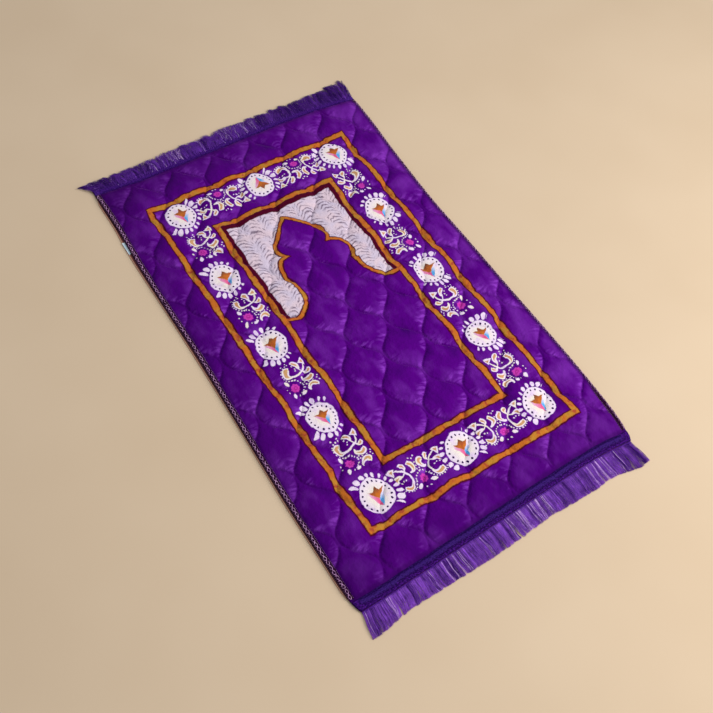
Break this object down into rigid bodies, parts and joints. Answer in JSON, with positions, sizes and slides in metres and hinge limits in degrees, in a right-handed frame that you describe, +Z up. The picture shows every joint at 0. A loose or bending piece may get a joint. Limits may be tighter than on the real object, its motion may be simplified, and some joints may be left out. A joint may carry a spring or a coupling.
{
  "type": "padded prayer rug",
  "caption": "Quilted velvet prayer rug with a foam filling, a cloth backing, woven end tapes and a knotless fringe at both short ends.",
  "frame": {"origin": "on the floor, below the middle of the whole rug's box, fringes included", "axes": "+Z up from the floor, +Y along the rug to the end with the niche, +X across the rug, to the right for someone who stands on it and faces the niche"},
  "size_m": [0.7212, 1.2486, 0.0143],
  "materials": {
    "velvet": "short-pile printed velvet, purple ground",
    "backing_cloth": "plain matt tan cloth",
    "tape_yarn": "ribbed woven tape, dark indigo",
    "fringe_yarn": "loose violet yarn with a soft sheen",
    "tab_satin": "pale blank satin",
    "overlock_thread": "pale lilac and dark purple overlock thread"
  },
  "bodies": {
    "root": {"quilted_pad": "velvet", "backing": "backing_cloth", "heading_near": "tape_yarn", "heading_far": "tape_yarn", "fringe_near": "fringe_yarn", "fringe_far": "fringe_yarn", "edge_tab": "tab_satin"}
  },
  "joints": []
}
